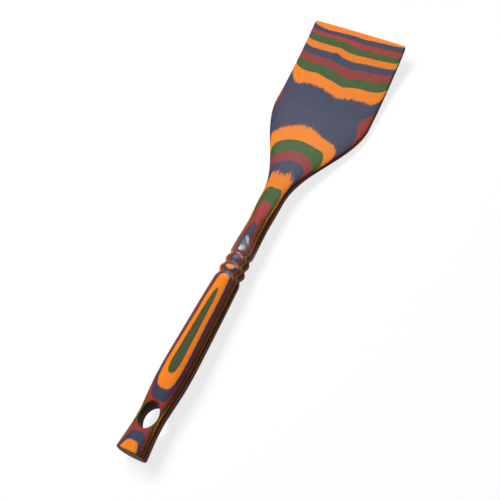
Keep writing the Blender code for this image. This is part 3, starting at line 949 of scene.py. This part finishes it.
def veneer_tone(tree, dye_name, patterns):
    """The sheet's dye, uneven along the grain, its neighbours' dyes past the seams, and painted
    shade on the hanging hole's wall.
    """
    finish = bpy.context.scene.spatula_finish
    number = DYES.index(dye_name)
    show = GRAIN_SHOW[dye_name]

    def dyed(name, share=1.0):
        """A dye of the block, paler or darker."""
        return (*(min(c * share, 1.0) for c in getattr(finish, name)), 1.0)

    clouds, specks = (
        add(tree, "ShaderNodeMapRange", {"Value": patterns[name], "To Max": share}, **SOFT)
        for name, share in (("clouds", CLOUD_SHARE), ("specks", SPECK_SHARE * show)))
    pores = add(tree, "ShaderNodeMath", {0: patterns["pores"], 1: PORE_SHARE * show},
                operation="MULTIPLY")
    tint = add(tree, "ShaderNodeAttribute", attribute_name="tint").outputs["Vector"]
    above, below = seam_shares(tree, dye_name)
    tone = dyed(dye_name, 1 - STREAK_DARKER * show)
    for blend, share, shade in (
            ("MIX", patterns["streaks"], dyed(dye_name, 1 + STREAK_PALER * show)),
            ("MIX", clouds, dyed(dye_name, CLOUD_TONE)),
            ("MIX", specks, dyed(dye_name, SPECK_TONE)),
            ("MIX", pores, dyed(dye_name, PORE_TONE)),
            # The tint holds the sheet's dye tint and the painted shade on the hanging hole's wall
            ("MULTIPLY", 1.0, tint),
            ("MIX", above, dyed(DYES[number - 1])),
            ("MIX", below, dyed(DYES[(number + 1) % len(DYES)]))):
        tone = add(tree, "ShaderNodeMix", {"Factor": share, 6: tone, 7: shade},
                   data_type="RGBA", blend_type=blend).outputs[2]
    return tone


def veneer_finish(dye_name):
    """Birch veneer dyed right through and lacquered.

    Rotary cut birch shows faint long streaks and short fine pores along the grain. The dye
    takes a little unevenly. Between orange and navy the fibres of one sheet are pressed into
    the other, so a shallow cut through their seam shows ragged streaks.
    """
    material = bpy.data.materials.new(finish_name(dye_name))
    material.use_nodes = True
    tree = material.node_tree
    tree.nodes.clear()
    patterns = {}
    for name, (along, across, detail, rough, shift, low, high) in GRAIN_PATTERNS.items():
        noise = grain(tree, along, across, across, detail, rough, shift)
        patterns[name] = add(tree, "ShaderNodeMapRange", {
            "Value": noise, "From Min": low, "From Max": high}, **SOFT)
    sunk, raised = (
        add(tree, "ShaderNodeMath", {0: patterns[name], 1: share}, operation="MULTIPLY")
        for name, share in (("pores", PORE_RELIEF), ("streaks", STREAK_RELIEF)))
    height = add(tree, "ShaderNodeMath", {0: sunk, 1: raised}, operation="ADD")
    bump = add(tree, "ShaderNodeBump", {
        "Height": height, "Strength": 0.15, "Distance": GRAIN_RELIEF})
    satin = bpy.context.scene.spatula_finish.roughness
    roughness = add(tree, "ShaderNodeMapRange", {
        "Value": patterns["streaks"], "To Min": satin - 0.04, "To Max": satin + 0.05}, **SOFT)
    polish = add(tree, "ShaderNodeAttribute", attribute_name="polish").outputs["Fac"]
    gloss, gloss_roughness = (
        add(tree, "ShaderNodeMapRange", {
            "Value": polish, "To Min": wiped, "To Max": polished}, **SOFT)
        for wiped, polished in zip(WIPED_GLOSS, POLISHED_GLOSS))
    shader = add(tree, "ShaderNodeBsdfPrincipled", {
        "Base Color": veneer_tone(tree, dye_name, patterns), "Roughness": roughness,
        "IOR": 1.5, "Specular IOR Level": 0.02, "Coat IOR": 1.6, "Coat Weight": gloss,
        "Coat Roughness": gloss_roughness, "Normal": bump})
    shader.inputs["Coat Roughness"].default_value = PLAIN_GLOSS_ROUGHNESS
    add(tree, "ShaderNodeOutputMaterial", {"Surface": shader})


class SPATULA_OT_mix_finishes(Operator):
    """Mix the dyes and the lacquer"""

    bl_idname = "spatula.mix_finishes"
    bl_label = "Mix the finishes"

    def execute(self, context):
        for dye_name in DYES:
            veneer_finish(dye_name)
        return {"FINISHED"}


def cut_veneers(dye_name):
    """Cuts every veneer of one dye out of the carved form."""
    for number in range(bpy.context.scene.spatula_block.count):
        if DYES[number % len(DYES)] == dye_name:
            part_out(cut_sheet(number, dye_name), number, dye_name)


class SPATULA_OT_green_veneers(Operator):
    """Cut the green veneers, the topmost and each fourth under it"""

    bl_idname = "spatula.green_veneers"
    bl_label = "Green veneers"

    def execute(self, context):
        cut_veneers("green")
        return {"FINISHED"}


class SPATULA_OT_orange_veneers(Operator):
    """Cut the orange veneers"""

    bl_idname = "spatula.orange_veneers"
    bl_label = "Orange veneers"

    def execute(self, context):
        cut_veneers("orange")
        return {"FINISHED"}


class SPATULA_OT_navy_veneers(Operator):
    """Cut the navy veneers"""

    bl_idname = "spatula.navy_veneers"
    bl_label = "Navy veneers"

    def execute(self, context):
        cut_veneers("navy")
        return {"FINISHED"}


class SPATULA_OT_red_veneers(Operator):
    """Cut the red veneers"""

    bl_idname = "spatula.red_veneers"
    bl_label = "Red veneers"

    def execute(self, context):
        cut_veneers("red")
        return {"FINISHED"}


def seen_rays(tree):
    """1 where the lens sees it, also in gloss or through glass, and 0 where it is only light."""
    rays = add(tree, "ShaderNodeLightPath").outputs
    seen = rays["Is Camera Ray"]
    for name in ("Is Glossy Ray", "Is Transmission Ray"):
        seen = add(tree, "ShaderNodeMath", {0: seen, 1: rays[name]}, operation="MAXIMUM")
    return seen


class SPATULA_OT_stage(Operator):
    """Set out the floor, the lamps and the camera"""

    bl_idname = "spatula.stage"
    bl_label = "Floor, lamps and camera"

    def execute(self, context):
        stage = context.scene.spatula_stage
        laid = lay_down()
        self.floor()
        self.room(context, stage)
        self.camera(context, stage, laid)
        self.lamp("softbox", laid, *SOFTBOX, stage.softbox)
        for name, (place, size, share) in GLINT_PANELS.items():
            watts = stage.panels * share * size[0] * size[1]
            self.lamp(name, laid, place, size, watts).visible_diffuse = False
        return {"FINISHED"}

    def camera(self, context, stage, laid):
        """The camera, which shows colours as they are."""
        data = bpy.data.cameras.new("camera")
        data.lens = stage.lens
        data.sensor_width = 36.0
        data.clip_start = 0.01
        camera = bpy.data.objects.new("camera", data)
        vector = Vector(stage.camera_turn)
        turn = Matrix.Rotation(vector.length, 3, vector.normalized()).transposed()
        turn = turn @ Matrix.Diagonal((1.0, -1.0, -1.0))
        camera.matrix_world = laid @ Matrix.Translation(stage.camera_place) @ turn.to_4x4()
        context.scene.collection.objects.link(camera)
        context.scene.camera = camera
        context.scene.view_settings.view_transform = "Standard"

    def lamp(self, name, laid, place, size, watts):
        """A flat lamp that faces the middle of the spatula, and that the lens doesn't see."""
        data = bpy.data.lights.new(name, "AREA")
        data.shape = "RECTANGLE"
        data.size, data.size_y = size
        data.energy = watts
        lamp = bpy.data.objects.new(name, data)
        lamp.visible_camera = False
        place = laid @ Vector(place)
        aim = laid @ Vector(LAMP_AIM) - place
        turn = aim.to_track_quat("-Z", "Y").to_matrix().to_4x4()
        lamp.matrix_world = Matrix.Translation(place) @ turn
        bpy.context.scene.collection.objects.link(lamp)
        return lamp

    def floor(self):
        """A pale floor. It is white to the lens, and grey to the light that it throws back."""
        corners = [(x * FLOOR_HALF, y * FLOOR_HALF, 0)
                   for x, y in ((-1, -1), (1, -1), (1, 1), (-1, 1))]
        floor = mesh_object("floor", corners, [(0, 1, 2, 3)], smooth=False)
        material = bpy.data.materials.new("matt white paper")
        material.use_nodes = True
        tree = material.node_tree
        tree.nodes.clear()
        dim, paper = (
            add(tree, "ShaderNodeBsdfDiffuse", {"Color": (grey, grey, grey, 1.0)})
            for grey in (FLOOR_DIM, FLOOR_PALE))
        glow = add(tree, "ShaderNodeEmission", {"Strength": FLOOR_GLOW})
        bright = add(tree, "ShaderNodeAddShader", {0: paper, 1: glow})
        mix = add(tree, "ShaderNodeMixShader", {0: seen_rays(tree), 1: dim, 2: bright})
        add(tree, "ShaderNodeOutputMaterial", {"Surface": mix})
        floor.data.materials.append(material)

    def room(self, context, stage):
        """Even light from all round, white to the lens and in reflections."""
        world = context.scene.world or bpy.data.worlds.new("room")
        context.scene.world = world
        world.use_nodes = True
        tree = world.node_tree
        tree.nodes.clear()
        soft, white = (
            add(tree, "ShaderNodeBackground", {"Color": (1.0, 1.0, 1.0, 1.0), "Strength": strength})
            for strength in (stage.daylight, 1.0))
        mix = add(tree, "ShaderNodeMixShader", {0: seen_rays(tree), 1: soft, 2: white})
        add(tree, "ShaderNodeOutputWorld", {"Surface": mix})


class SPATULA_OT_clear_away(Operator):
    """Clear away the carved form and the block once the veneers are cut"""

    bl_idname = "spatula.clear_away"
    bl_label = "Clear away"

    def execute(self, context):
        for thing in list(bpy.data.objects):
            if thing.name.startswith(WORK):
                bpy.data.objects.remove(thing)
        return {"FINISHED"}


class SPATULA_PT_steps(Panel):
    """The spatula's steps and settings"""

    bl_idname = "SPATULA_PT_steps"
    bl_label = "Veneer spatula"
    bl_space_type = "VIEW_3D"
    bl_region_type = "UI"
    bl_category = "Spatula"

    def draw(self, context):
        for step in STEPS:
            self.layout.operator(step.bl_idname)
        for name, group in SETTINGS.items():
            box = self.layout.box()
            box.label(text=group.__doc__)
            for prop in group.__annotations__:
                box.prop(getattr(context.scene, name), prop)


STEPS = (
    SPATULA_OT_carve, SPATULA_OT_glue_up, SPATULA_OT_mix_finishes, SPATULA_OT_green_veneers,
    SPATULA_OT_orange_veneers, SPATULA_OT_navy_veneers, SPATULA_OT_red_veneers,
    SPATULA_OT_clear_away, SPATULA_OT_stage,
)
SETTINGS = {
    "spatula_block": BlockSettings, "spatula_handle": HandleSettings,
    "spatula_blade": BladeSettings, "spatula_finish": FinishSettings,
    "spatula_stage": StageSettings,
}


def register():
    """Makes the settings, the steps and the panel known."""
    for name, group in SETTINGS.items():
        bpy.utils.register_class(group)
        setattr(bpy.types.Scene, name, PointerProperty(type=group))
    for step in STEPS:
        bpy.utils.register_class(step)
    bpy.utils.register_class(SPATULA_PT_steps)


def unregister():
    """Takes them away again, in the opposite order."""
    bpy.utils.unregister_class(SPATULA_PT_steps)
    for step in reversed(STEPS):
        bpy.utils.unregister_class(step)
    for name, group in reversed(list(SETTINGS.items())):
        delattr(bpy.types.Scene, name)
        bpy.utils.unregister_class(group)


def main():
    """Runs every step in the order of work."""
    register()
    for step in STEPS:
        group, name = step.bl_idname.split(".")
        getattr(getattr(bpy.ops, group), name)()


if __name__ == "__main__":
    main()
